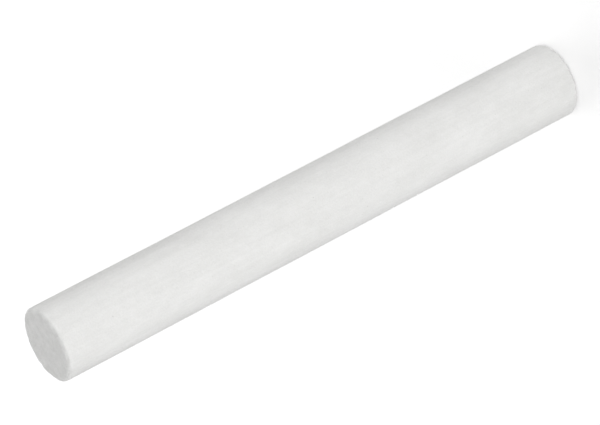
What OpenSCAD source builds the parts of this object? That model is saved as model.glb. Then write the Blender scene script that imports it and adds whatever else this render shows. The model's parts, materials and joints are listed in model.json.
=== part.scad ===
// Round white chalk stick for writing on a blackboard.
// It is one straight extruded rod of dense chalk, cut square at both ends.
// The sharp rim of each cut is rubbed to a small soft radius.
// It stands on its foot end, with its axis along +Z and its foot face at z = 0.
// All sizes are in millimetres.

/* [Stick] */
// Diameter of the round stick
stick_d = 10; // [6:0.5:25]
// Length from the foot face to the writing face
stick_l = 80; // [20:1:150]

/* [Ends] */
// Radius of the rubbed rim round the writing face, at the top
writing_rim_r = 0.5; // [0.1:0.1:2]
// Radius of the rubbed rim round the foot face, at z = 0
foot_rim_r = 0.5; // [0.1:0.1:2]

/* [Smoothness] */
// Number of sides that stand for the stick's full circle in a preview
round_sides = 96; // [24:4:180]
// Number of sides that stand for a rim's full circle in a preview
rim_sides = 32; // [16:4:64]

/* [Hidden] */

stick_r = stick_d / 2;
mid_z = stick_l / 2;
wall_l = stick_l - foot_rim_r - writing_rim_r;

// Right half of one end's outline: the flat face out to the rim, and the rim's arc.
// It reaches from the end face at y = 0 to the middle of the stick.
module end_outline(rim_r) {
    square([stick_r - rim_r, mid_z]);
    translate([stick_r - rim_r, rim_r])
        circle(r = rim_r, $fn = rim_sides);
}

// Right half of the stick's lengthwise section, with the axis on x = 0.
module half_section() {
    translate([0, foot_rim_r])
        square([stick_r, wall_l]);
    end_outline(foot_rim_r);
    translate([0, stick_l])
        mirror([0, 1])
            end_outline(writing_rim_r);
}

// The whole stick, one solid with a straight round wall.
module chalk_stick() {
    color("#ededea")
        rotate_extrude($fn = round_sides)
            half_section();
}

chalk_stick();
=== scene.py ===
import json
import math

import bpy
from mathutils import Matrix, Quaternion, Vector


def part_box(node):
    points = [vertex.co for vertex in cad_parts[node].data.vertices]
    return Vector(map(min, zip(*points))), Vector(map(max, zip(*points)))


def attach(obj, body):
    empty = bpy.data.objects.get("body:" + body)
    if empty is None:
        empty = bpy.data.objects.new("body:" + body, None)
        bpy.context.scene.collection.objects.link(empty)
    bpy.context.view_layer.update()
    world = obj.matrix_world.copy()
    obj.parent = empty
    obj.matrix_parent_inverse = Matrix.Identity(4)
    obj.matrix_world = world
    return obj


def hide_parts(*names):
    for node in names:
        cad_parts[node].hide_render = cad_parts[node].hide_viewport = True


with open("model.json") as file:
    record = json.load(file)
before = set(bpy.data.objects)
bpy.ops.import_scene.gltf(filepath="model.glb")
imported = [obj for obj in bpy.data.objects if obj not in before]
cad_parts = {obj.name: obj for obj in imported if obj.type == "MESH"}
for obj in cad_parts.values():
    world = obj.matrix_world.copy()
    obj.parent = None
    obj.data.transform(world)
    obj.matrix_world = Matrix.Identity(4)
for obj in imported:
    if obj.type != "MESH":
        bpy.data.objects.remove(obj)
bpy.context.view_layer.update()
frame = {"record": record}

MM = 0.001

# ---------------------------------------------------------------- sizes, from the frame

LOW, HIGH = (Vector(corner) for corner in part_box("chalk_stick"))
MIDDLE = (LOW + HIGH) / 2
LENGTH = HIGH.z - LOW.z
RADIUS = (HIGH.x - LOW.x) / 2
GRIP = next(mount for mount in frame["record"]["mounts"] if mount["name"] == "grip")
RIM = (LENGTH - GRIP["dims"]["length_mm"] * MM) / 2  # the rims are what the round wall leaves of the length


def linear(hex_colour):
    """Turns an sRGB hex colour such as "#eeeeec" into the linear RGBA that a socket takes."""
    shares = [int(hex_colour[i : i + 2], 16) / 255 for i in (1, 3, 5)]
    return [s / 12.92 if s <= 0.04045 else ((s + 0.055) / 1.055) ** 2.4 for s in shares] + [1.0]


def add_node(tree, kind, inputs=(), **settings):
    """Adds a node with its settings. Each input is a value, or a socket or node that is linked to it.

    The inputs are a list in the node's own order, or go by name or number.
    """
    node = tree.nodes.new(kind)
    for name, setting in settings.items():
        setattr(node, name, setting)
    for key, value in inputs.items() if isinstance(inputs, dict) else enumerate(inputs):
        if isinstance(value, bpy.types.Node):
            value = value.outputs[0]
        if isinstance(value, bpy.types.NodeSocket):
            tree.links.new(value, node.inputs[key])
        else:
            node.inputs[key].default_value = value
    return node


NOISE_SPAN = (0.3, 0.7)  # a noise seldom leaves these, so they are drawn out to 0 and 1


def draw_patterns(tree, place, patterns):
    """Draws each random pattern, from 0 to 1, in lumps of its own width along X, Y and Z."""
    drawn = {}
    for name, (widths, layers, share) in patterns.items():
        scale = [1 / (width * MM) for width in widths]
        scaled = add_node(tree, "ShaderNodeVectorMath", [place, scale], operation="MULTIPLY")
        lumps = add_node(
            tree,
            "ShaderNodeTexNoise",
            {"Vector": scaled, "Scale": 1.0, "Detail": layers, "Roughness": share},
        )
        drawn[name] = add_node(tree, "ShaderNodeMapRange", [lumps, *NOISE_SPAN])
    return drawn


# ---------------------------------------------------------------- the stick's shape

# The inputs of the stick's tree: what kind of socket each has, and its value
STICK_SIZES = {
    "Length": ("NodeSocketFloat", LENGTH),
    "Radius": ("NodeSocketFloat", RADIUS),
    "Rim Radius": ("NodeSocketFloat", RIM),
    "Near Height": ("NodeSocketFloat", 2.0 * MM),  # the stretch of wall beside each rim that has close rings
    "Facets": ("NodeSocketInt", 70),  # along one quarter of the round wall
    "Wall Rings": ("NodeSocketInt", 132),  # from the stick's middle to the close rings
    "Near Rings": ("NodeSocketInt", 16),
    "Rim Rings": ("NodeSocketInt", 8),
    "Wave Depth": ("NodeSocketFloat", 0.04 * MM),  # how far the wall leaves a true circle
    "Drag Depth": ("NodeSocketFloat", 0.02 * MM),  # lengthwise lines that the die leaves in the wall
    "Cut Depth": ("NodeSocketFloat", 0.07 * MM),  # grain of the cut end faces
    "Score Depth": ("NodeSocketFloat", 0.03 * MM),  # lines that the cutting wire leaves in them
    "Wear Depth": ("NodeSocketFloat", 0.09 * MM),  # powder rubbed off the rims
    "Nick Depth": ("NodeSocketFloat", 0.22 * MM),  # crumbs broken out of the rims
    "Seed": ("NodeSocketInt", 11),
    "Material": ("NodeSocketMaterial", None),
}

# Lump widths along X, Y and Z in mm, layers of finer lumps, and each finer layer's share of the one before
SHAPE_PATTERNS = {
    "wave": ((9, 9, 12), 1.0, 0.5),
    "drag": ((0.6, 0.6, 25), 2.0, 0.5),
    "cut": ((0.5, 0.5, 0.5), 3.0, 0.6),
    "score": ((6, 0.6, 0.6), 2.0, 0.5),
    "wear": ((1.4, 1.4, 1.4), 2.0, 0.6),
    "break": ((2.2, 2.2, 2.2), 0.0, 0.5),
}
SEED_SHIFT = 0.1  # metres that the patterns move by for each seed

CUT_FADE = 0.7  # share of a rim's height over which the grain of the end face dies out
RIM_FADE = (0.1 * MM, 0.8 * MM)  # from the middle of a rim's arc, where its wear is whole and where it ends

CRUMB_SPACING = 1.2 * MM  # between the crumbs that a rim can lose
CRUMB_FADE = (0.1, 0.4)  # shares of that spacing, from a lost crumb's middle, where its hollow slopes
BREAK_SPAN = (0.6, 0.8)  # no crumb is lost where the pattern of breaks is lower, and each one where higher

# Flats rubbed on the rims: azimuth from +X towards +Y and rise above level, in degrees, and depth in mm
RUBBED_FLATS = (
    (55, 45, 0.15),
    (-20, 50, 0.05),
    (-86, 25, 0.05),
    (148, 40, 0.06),
    (236, 48, 0.05),
    (15, -45, 0.07),
    (118, -52, 0.05),
    (262, -42, 0.09),
)


def plain_stick(tree, size):
    """Wraps a cube's grid round the stick, so that its top and bottom become the end faces."""
    # Rings are counted from the stick's middle: over the wall, the close stretch, and the rim's arc
    levels = [0.0]
    for rings in ("Wall Rings", "Near Rings", "Rim Rings"):
        levels.append(add_node(tree, "ShaderNodeMath", [levels[-1], size[rings]]))
    all_rings = add_node(tree, "ShaderNodeMath", [levels[-1], 2.0], operation="MULTIPLY")
    corners = add_node(tree, "ShaderNodeMath", [size["Facets"], 1.0])
    cube = add_node(
        tree,
        "GeometryNodeMeshCube",
        {
            "Size": add_node(tree, "ShaderNodeCombineXYZ", [2.0, 2.0, all_rings]),
            "Vertices X": corners,
            "Vertices Y": corners,
            "Vertices Z": add_node(tree, "ShaderNodeMath", [all_rings, 1.0]),
        },
    )
    place = add_node(tree, "GeometryNodeInputPosition")
    grid = add_node(tree, "ShaderNodeSeparateXYZ", [place]).outputs
    unsigned = add_node(tree, "ShaderNodeVectorMath", [place], operation="ABSOLUTE")
    reach = add_node(tree, "ShaderNodeSeparateXYZ", [unsigned]).outputs

    # A square of side 2 becomes a circle of radius 1, and the squares inside it evenly spaced circles:
    # x is multiplied by sqrt(1 - (y / m) ** 2 / 2), where m is the larger of x and y, and y likewise
    larger = add_node(tree, "ShaderNodeMath", [reach["X"], reach["Y"]], operation="MAXIMUM")
    across = []
    for own, other in (("X", "Y"), ("Y", "X")):
        share = add_node(tree, "ShaderNodeMath", [grid[other], larger], operation="DIVIDE")
        squared = add_node(tree, "ShaderNodeMath", [share, share], operation="MULTIPLY")
        rest = add_node(tree, "ShaderNodeMath", [squared, -0.5, 1.0], operation="MULTIPLY_ADD")
        root = add_node(tree, "ShaderNodeMath", [rest], operation="SQRT")
        across.append(add_node(tree, "ShaderNodeMath", [grid[own], root], operation="MULTIPLY"))

    # How far each span of rings is climbed at a point, from 0 to 1
    ring = reach["Z"]
    wall, near, arc = (
        add_node(tree, "ShaderNodeMapRange", [ring, low, high]) for low, high in zip(levels, levels[1:])
    )
    turn = add_node(tree, "ShaderNodeMath", [arc, math.pi / 2], operation="MULTIPLY")
    sine = add_node(tree, "ShaderNodeMath", [turn], operation="SINE")
    cosine = add_node(tree, "ShaderNodeMath", [turn], operation="COSINE")

    rim_radius = size["Rim Radius"]
    flat_radius = add_node(tree, "ShaderNodeMath", [size["Radius"], rim_radius], operation="SUBTRACT")
    out = add_node(tree, "ShaderNodeMath", [cosine, rim_radius, flat_radius], operation="MULTIPLY_ADD")
    half = add_node(tree, "ShaderNodeMath", [size["Length"], 0.5], operation="MULTIPLY")
    wall_height = half
    for height in (size["Near Height"], rim_radius):
        wall_height = add_node(tree, "ShaderNodeMath", [wall_height, height], operation="SUBTRACT")
    up = 0.0
    for share, height in ((wall, wall_height), (near, size["Near Height"]), (sine, rim_radius)):
        up = add_node(tree, "ShaderNodeMath", [share, height, up], operation="MULTIPLY_ADD")
    side = add_node(tree, "ShaderNodeMath", [grid["Z"]], operation="SIGN")
    place = add_node(
        tree,
        "ShaderNodeCombineXYZ",
        [
            add_node(tree, "ShaderNodeMath", [across[0], out], operation="MULTIPLY"),
            add_node(tree, "ShaderNodeMath", [across[1], out], operation="MULTIPLY"),
            add_node(tree, "ShaderNodeMath", [up, side, half], operation="MULTIPLY_ADD"),
        ],
    )
    return add_node(tree, "GeometryNodeSetPosition", {"Geometry": cube, "Position": place})


def end_and_rim(tree, size):
    """How much a point belongs to an end face, and how much to a rim, from 0 to 1."""
    place = add_node(tree, "GeometryNodeInputPosition")
    flat = add_node(tree, "ShaderNodeVectorMath", [place, (1.0, 1.0, 0.0)], operation="MULTIPLY")
    out = add_node(tree, "ShaderNodeVectorMath", [flat], operation="LENGTH").outputs["Value"]
    up = add_node(tree, "ShaderNodeSeparateXYZ", [place]).outputs["Z"]
    down = add_node(tree, "ShaderNodeMath", [size["Length"], up], operation="SUBTRACT")
    end = add_node(tree, "ShaderNodeMath", [up, down], operation="MINIMUM")
    fade = add_node(tree, "ShaderNodeMath", [size["Rim Radius"], CUT_FADE], operation="MULTIPLY")
    cut = add_node(tree, "ShaderNodeMapRange", [end, 0.0, fade, 1.0, 0.0], interpolation_type="SMOOTHSTEP")

    # The middle of the rim's arc lies this far in from the wall, and from the end face
    inset = add_node(tree, "ShaderNodeMath", [size["Rim Radius"], 1 - math.sqrt(0.5)], operation="MULTIPLY")
    rim_out = add_node(tree, "ShaderNodeMath", [size["Radius"], inset], operation="SUBTRACT")
    away = add_node(
        tree,
        "ShaderNodeCombineXYZ",
        [
            add_node(tree, "ShaderNodeMath", [out, rim_out], operation="SUBTRACT"),
            add_node(tree, "ShaderNodeMath", [end, inset], operation="SUBTRACT"),
        ],
    )
    distance = add_node(tree, "ShaderNodeVectorMath", [away], operation="LENGTH").outputs["Value"]
    rim = add_node(
        tree, "ShaderNodeMapRange", [distance, *RIM_FADE, 1.0, 0.0], interpolation_type="SMOOTHSTEP"
    )
    return cut, rim


def surface_marks(tree, size):
    """How deep the marks lie at a point, and the places that the material finishes in their own way."""
    place = add_node(tree, "GeometryNodeInputPosition")
    shift = add_node(tree, "ShaderNodeMath", [size["Seed"], SEED_SHIFT], operation="MULTIPLY")
    place = add_node(tree, "ShaderNodeVectorMath", [place, shift])
    pattern = draw_patterns(tree, place, SHAPE_PATTERNS)
    cut, rim = end_and_rim(tree, size)

    crumbs = add_node(tree, "ShaderNodeTexVoronoi", {"Vector": place, "Scale": 1 / CRUMB_SPACING}).outputs
    crumb = add_node(tree, "ShaderNodeMapRange", [crumbs["Distance"], *CRUMB_FADE, 1.0, 0.0])
    weak = add_node(tree, "ShaderNodeMapRange", [pattern["break"], *BREAK_SPAN])
    broken = rim
    for share in (crumb, weak):
        broken = add_node(tree, "ShaderNodeMath", [broken, share], operation="MULTIPLY")

    depth = 0.0
    for name, shares in {
        "Wave Depth": [pattern["wave"]],
        "Drag Depth": [pattern["drag"]],
        "Cut Depth": [cut, pattern["cut"]],
        "Score Depth": [cut, pattern["score"]],
        "Wear Depth": [rim, pattern["wear"]],
        "Nick Depth": [broken],
    }.items():
        mark = size[name]
        for share in shares:
            mark = add_node(tree, "ShaderNodeMath", [mark, share], operation="MULTIPLY")
        depth = add_node(tree, "ShaderNodeMath", [depth, mark])
    return depth, {"cut": cut, "rim": rim, "broken": broken}


def rub_flats(tree, size, stick):
    """Presses what stands beyond each slanting plane back onto it, as rubbing against a neighbour does."""
    rim_radius = size["Rim Radius"]
    flat_radius = add_node(tree, "ShaderNodeMath", [size["Radius"], rim_radius], operation="SUBTRACT")
    half = add_node(tree, "ShaderNodeMath", [size["Length"], 0.5], operation="MULTIPLY")
    half_wall = add_node(tree, "ShaderNodeMath", [half, rim_radius], operation="SUBTRACT")
    for azimuth, rise, depth in RUBBED_FLATS:
        azimuth, rise = math.radians(azimuth), math.radians(rise)
        out, up = math.cos(rise), math.sin(rise)
        facing = Vector((math.cos(azimuth) * out, math.sin(azimuth) * out, up))

        # How far the plane lies from the origin: the way to the stick's middle, to the centre of the rim's
        # arc, and across that arc, less the depth
        level = -depth * MM
        for share, way in ((up, half), (abs(up), half_wall), (out, flat_radius), (1.0, rim_radius)):
            level = add_node(tree, "ShaderNodeMath", [way, share, level], operation="MULTIPLY_ADD")

        place = add_node(tree, "GeometryNodeInputPosition")
        height = add_node(tree, "ShaderNodeVectorMath", [place, facing], operation="DOT_PRODUCT")
        beyond = add_node(tree, "ShaderNodeMath", [height.outputs["Value"], level], operation="SUBTRACT")
        beyond = add_node(tree, "ShaderNodeMath", [beyond, 0.0], operation="MAXIMUM")
        back = add_node(tree, "ShaderNodeVectorMath", {0: -facing, "Scale": beyond}, operation="SCALE")
        stick = add_node(tree, "GeometryNodeSetPosition", {"Geometry": stick, "Offset": back})
    return stick


def stick_tree():
    """Builds the tree that makes the whole stick from its named sizes."""
    tree = bpy.data.node_groups.new("Extruded chalk stick", "GeometryNodeTree")
    for name, (kind, _) in STICK_SIZES.items():
        tree.interface.new_socket(name=name, in_out="INPUT", socket_type=kind)
    tree.interface.new_socket(name="Stick", in_out="OUTPUT", socket_type="NodeSocketGeometry")
    size = add_node(tree, "NodeGroupInput").outputs

    stick = plain_stick(tree, size)
    depth, finishes = surface_marks(tree, size)
    for name, share in finishes.items():
        stick = add_node(
            tree,
            "GeometryNodeStoreNamedAttribute",
            {"Geometry": stick, "Name": name, "Value": share},
            data_type="FLOAT",
            domain="POINT",
        )
    stick = rub_flats(tree, size, stick)
    outward = add_node(tree, "GeometryNodeInputNormal")
    inward = add_node(tree, "ShaderNodeMath", [depth, -1.0], operation="MULTIPLY")
    push = add_node(tree, "ShaderNodeVectorMath", {0: outward, "Scale": inward}, operation="SCALE")
    stick = add_node(tree, "GeometryNodeSetPosition", {"Geometry": stick, "Offset": push})

    # Each quad is cut along its shorter diagonal, which leaves no slivers where the end faces' circles have
    # the corners of their squares
    stick = add_node(tree, "GeometryNodeTriangulate", [stick], quad_method="SHORTEST_DIAGONAL")
    stick = add_node(tree, "GeometryNodeSetShadeSmooth", {"Geometry": stick})
    stick = add_node(tree, "GeometryNodeRealizeInstances", {"Geometry": stick})
    stick = add_node(tree, "GeometryNodeSetMaterial", {"Geometry": stick, "Material": size["Material"]})
    add_node(tree, "NodeGroupOutput", {"Stick": stick})
    return tree


def make_stick(material):
    """Runs the tree on an empty mesh and keeps the result as a plain mesh."""
    maker = bpy.data.objects.new("stick_maker", bpy.data.meshes.new("stick_maker"))
    bpy.context.scene.collection.objects.link(maker)
    modifier = maker.modifiers.new("Extruded chalk stick", "NODES")
    modifier.node_group = stick_tree()
    for name, (_, value) in STICK_SIZES.items():
        socket = modifier.node_group.interface.items_tree[name]
        modifier[socket.identifier] = material if name == "Material" else value
    made = maker.evaluated_get(bpy.context.evaluated_depsgraph_get())
    stick = bpy.data.objects.new("stick", bpy.data.meshes.new_from_object(made))
    bpy.context.scene.collection.objects.link(stick)
    bpy.data.objects.remove(maker)
    return stick


# ---------------------------------------------------------------- the finish

# The powder's own grains are thousandths of a millimetre, so the grit is drawn as coarse as it needs to show
FINISH_PATTERNS = {
    "cloud": ((4, 4, 9), 3.0, 0.5),
    "mottle": ((1.1, 1.1, 1.6), 2.0, 0.5),
    "streak": ((0.4, 0.4, 16), 2.0, 0.5),
    "grit": ((0.2, 0.2, 0.2), 3.0, 0.7),
}
GRIT_HEIGHT = 0.025 * MM  # from the grit's lowest to its highest

# How much of the tone each pattern gives on the wall, and on the cut end faces
TONE_SHARES = {"cloud": (0.3, 0.1), "mottle": (0.15, 0.5), "streak": (0.15, 0.0), "grit": (0.4, 0.5)}

# Air bubbles, open where they meet the surface: their spacing, and their least and greatest radius, in mm
PINHOLES = ((1.6, 0.02, 0.1), (0.45, 0.012, 0.06))
SMALL_BUBBLES = 0.3  # a bubble whose random number, from 0 to 1, is under this has the least radius
PINHOLE_DEPTH = 3.0  # times the grit's height

# The chalk's own colour, and what lies over it: how much of it there is at most, and its colour; the last is
# painted shade in the pinholes
CHALK = "#e4e4e2"
PALE_TONE = (1.0, "#f8f8f7")
LOOSE_DUST = (0.5, "#f9f9f8")
PAINTED_PIT_SHADE = (0.7, "#b8b8b4")


def extruded_chalk():
    """Dense white blackboard chalk, extruded and dried: a powdery, dead matte white with a fine grain."""
    material = bpy.data.materials.new("Dense white chalk, extruded")
    material.use_nodes = True
    tree = material.node_tree
    tree.nodes.clear()
    place = add_node(tree, "ShaderNodeTexCoord").outputs["Object"]
    cut, rim, broken = (
        add_node(tree, "ShaderNodeAttribute", attribute_name=name).outputs["Fac"]
        for name in ("cut", "rim", "broken")
    )
    pattern = draw_patterns(tree, place, FINISH_PATTERNS)

    tone = 0.0
    for name, (on_wall, on_end) in TONE_SHARES.items():
        share = add_node(tree, "ShaderNodeMapRange", [cut, 0.0, 1.0, on_wall, on_end])
        tone = add_node(tree, "ShaderNodeMath", [pattern[name], share, tone], operation="MULTIPLY_ADD")

    # How far a point lies in a pinhole: the bump dents it there, and the colour darkens it with painted
    # shade
    pinhole_dent_and_painted_shade = 0.0
    for spacing, *radii in PINHOLES:
        scale = 1 / (spacing * MM)
        bubbles = add_node(tree, "ShaderNodeTexVoronoi", {"Vector": place, "Scale": scale}).outputs
        least, greatest = (radius / spacing for radius in radii)
        edge = add_node(tree, "ShaderNodeMapRange", [bubbles["Color"], SMALL_BUBBLES, 1.0, least, greatest])
        hole = add_node(
            tree,
            "ShaderNodeMapRange",
            [bubbles["Distance"], 0.0, edge, 1.0, 0.0],
            interpolation_type="SMOOTHSTEP",
        )
        pinhole_dent_and_painted_shade = add_node(tree, "ShaderNodeMath", [pinhole_dent_and_painted_shade, hole], operation="MAXIMUM")

    dust = add_node(tree, "ShaderNodeMath", [rim, pattern["mottle"]], operation="MULTIPLY")
    dust = add_node(tree, "ShaderNodeMath", [dust, broken], operation="MAXIMUM")
    colour = linear(CHALK)
    # In the pinholes the colour is darkened with painted shade for their hollows
    for share, (most, over) in ((tone, PALE_TONE), (dust, LOOSE_DUST), (pinhole_dent_and_painted_shade, PAINTED_PIT_SHADE)):
        share = add_node(tree, "ShaderNodeMath", [share, most], operation="MULTIPLY")
        # Sockets 6 and 7 are the two colours, and output 2 is their mix
        mixed = add_node(tree, "ShaderNodeMix", {0: share, 6: colour, 7: linear(over)}, data_type="RGBA")
        colour = mixed.outputs[2]

    height = add_node(
        tree, "ShaderNodeMath", [pinhole_dent_and_painted_shade, -PINHOLE_DEPTH, pattern["grit"]], operation="MULTIPLY_ADD"
    )
    # The IOR lies between gypsum's and calcite's, and a powdery surface has hardly any gloss
    surface = add_node(
        tree,
        "ShaderNodeBsdfPrincipled",
        {
            "Base Color": colour,
            "Roughness": 0.95,
            "IOR": 1.55,
            "Specular IOR Level": 0.2,
            "Diffuse Roughness": 0.2,
            "Normal": add_node(tree, "ShaderNodeBump", {"Distance": GRIT_HEIGHT, "Height": height}),
        },
    )
    add_node(tree, "ShaderNodeOutputMaterial", {"Surface": surface})
    return material


# ---------------------------------------------------------------- camera, floor and light

EYE_OUT = 447 * MM  # from the stick's axis
EYE_UP = 257 * MM  # above the floor
AIM_UP = 41.4 * MM  # where the lens points on the stick's axis, above the floor
ROLL = 117.7  # degrees that lay the stick down, its writing end at the lower left
LENS = 238.0  # focal length in mm


def make_camera():
    """A long lens that looks down past the writing end, turned on its side."""
    camera = bpy.data.objects.new("camera", bpy.data.cameras.new("camera"))
    camera.data.lens = LENS
    camera.location = (0.0, -EYE_OUT, LOW.z + EYE_UP)
    towards = Vector((0.0, 0.0, LOW.z + AIM_UP)) - camera.location
    roll = Quaternion((0.0, 0.0, 1.0), -math.radians(ROLL))
    camera.rotation_mode = "QUATERNION"
    camera.rotation_quaternion = towards.to_track_quat("-Z", "Y") @ roll
    bpy.context.scene.collection.objects.link(camera)
    bpy.context.scene.camera = camera


SKY = 0.42  # even light from all round, where 1 would be plain white
FLOOR_HALF = 3.0  # metres from the stick to each side of the floor
FLOOR_WHITE = 0.8  # share of the light that the floor throws back
LAMP_POOL = (0.1, 1.2)  # metres from the stick over which the lamps' light on the floor fades
FLOOR_GLOW = (0.42, 0.72)  # what the camera sees besides, at those two, so that the floor is just white

# Turn from the camera's side, rise, width and height in metres, and watts. Turns and rises are in degrees.
LAMPS = {
    "front_lamp": (-8, 9, 0.9, 0.26, 4.3),
    "left_lamp": (-100, 9, 0.6, 0.26, 0.75),
    "right_lamp": (100, 9, 0.6, 0.26, 0.95),
    "back_lamp": (172, 30, 0.6, 0.4, 3.3),
}
LAMP_DISTANCE = 0.9  # metres from the stick's middle


def seen_directly(tree):
    """1 for what the camera, a gloss or a glass looks at, and 0 for light on its way to the object."""
    path = add_node(tree, "ShaderNodeLightPath").outputs
    seen = path["Is Camera Ray"]
    for ray in ("Is Glossy Ray", "Is Transmission Ray"):
        seen = add_node(tree, "ShaderNodeMath", [seen, path[ray]], operation="MAXIMUM")
    return seen


def make_floor():
    """A plain white table top, level with the foot face."""
    corners = [(x * FLOOR_HALF, y * FLOOR_HALF, LOW.z) for x, y in ((-1, -1), (1, -1), (1, 1), (-1, 1))]
    mesh = bpy.data.meshes.new("floor")
    mesh.from_pydata(corners, [], [(0, 1, 2, 3)])
    floor = bpy.data.objects.new("floor", mesh)
    bpy.context.scene.collection.objects.link(floor)
    material = bpy.data.materials.new("White table top")
    material.use_nodes = True
    tree = material.node_tree
    tree.nodes.clear()
    paint = add_node(tree, "ShaderNodeBsdfDiffuse", {"Color": [FLOOR_WHITE] * 3 + [1.0]})
    place = add_node(tree, "ShaderNodeTexCoord").outputs["Object"]
    distance = add_node(tree, "ShaderNodeVectorMath", [place], operation="LENGTH").outputs["Value"]
    glow = add_node(tree, "ShaderNodeMapRange", [distance, *LAMP_POOL, *FLOOR_GLOW])
    strength = add_node(tree, "ShaderNodeMath", [seen_directly(tree), glow], operation="MULTIPLY")
    glow = add_node(tree, "ShaderNodeEmission", {"Strength": strength})
    both = add_node(tree, "ShaderNodeAddShader", [paint, glow])
    add_node(tree, "ShaderNodeOutputMaterial", {"Surface": both})
    mesh.materials.append(material)


def make_sky():
    """An even pale light from all round, which the camera sees as plain white."""
    world = bpy.data.worlds.new("studio")
    world.use_nodes = True
    tree = world.node_tree
    tree.nodes.clear()
    strength = add_node(tree, "ShaderNodeMapRange", [seen_directly(tree), 0.0, 1.0, SKY, 1.0])
    sky = add_node(tree, "ShaderNodeBackground", {"Color": [1.0] * 4, "Strength": strength})
    add_node(tree, "ShaderNodeOutputWorld", {"Surface": sky})
    bpy.context.scene.world = world


def make_lamp(name, turn, rise, width, height, watts):
    """A soft oblong lamp that faces the stick's middle."""
    lamp = bpy.data.objects.new(name, bpy.data.lights.new(name, "AREA"))
    lamp.data.shape = "RECTANGLE"
    lamp.data.size = width
    lamp.data.size_y = height
    lamp.data.energy = watts
    turn, rise = math.radians(turn), math.radians(rise)
    away = Vector((math.sin(turn) * math.cos(rise), -math.cos(turn) * math.cos(rise), math.sin(rise)))
    lamp.location = MIDDLE + away * LAMP_DISTANCE
    lamp.rotation_mode = "QUATERNION"
    lamp.rotation_quaternion = (-away).to_track_quat("-Z", "Y")
    bpy.context.scene.collection.objects.link(lamp)


stick = make_stick(extruded_chalk())
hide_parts("chalk_stick")
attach(stick, "root")

make_camera()
make_floor()
make_sky()
for name, settings in LAMPS.items():
    make_lamp(name, *settings)

bpy.context.scene.view_settings.view_transform = "Standard"
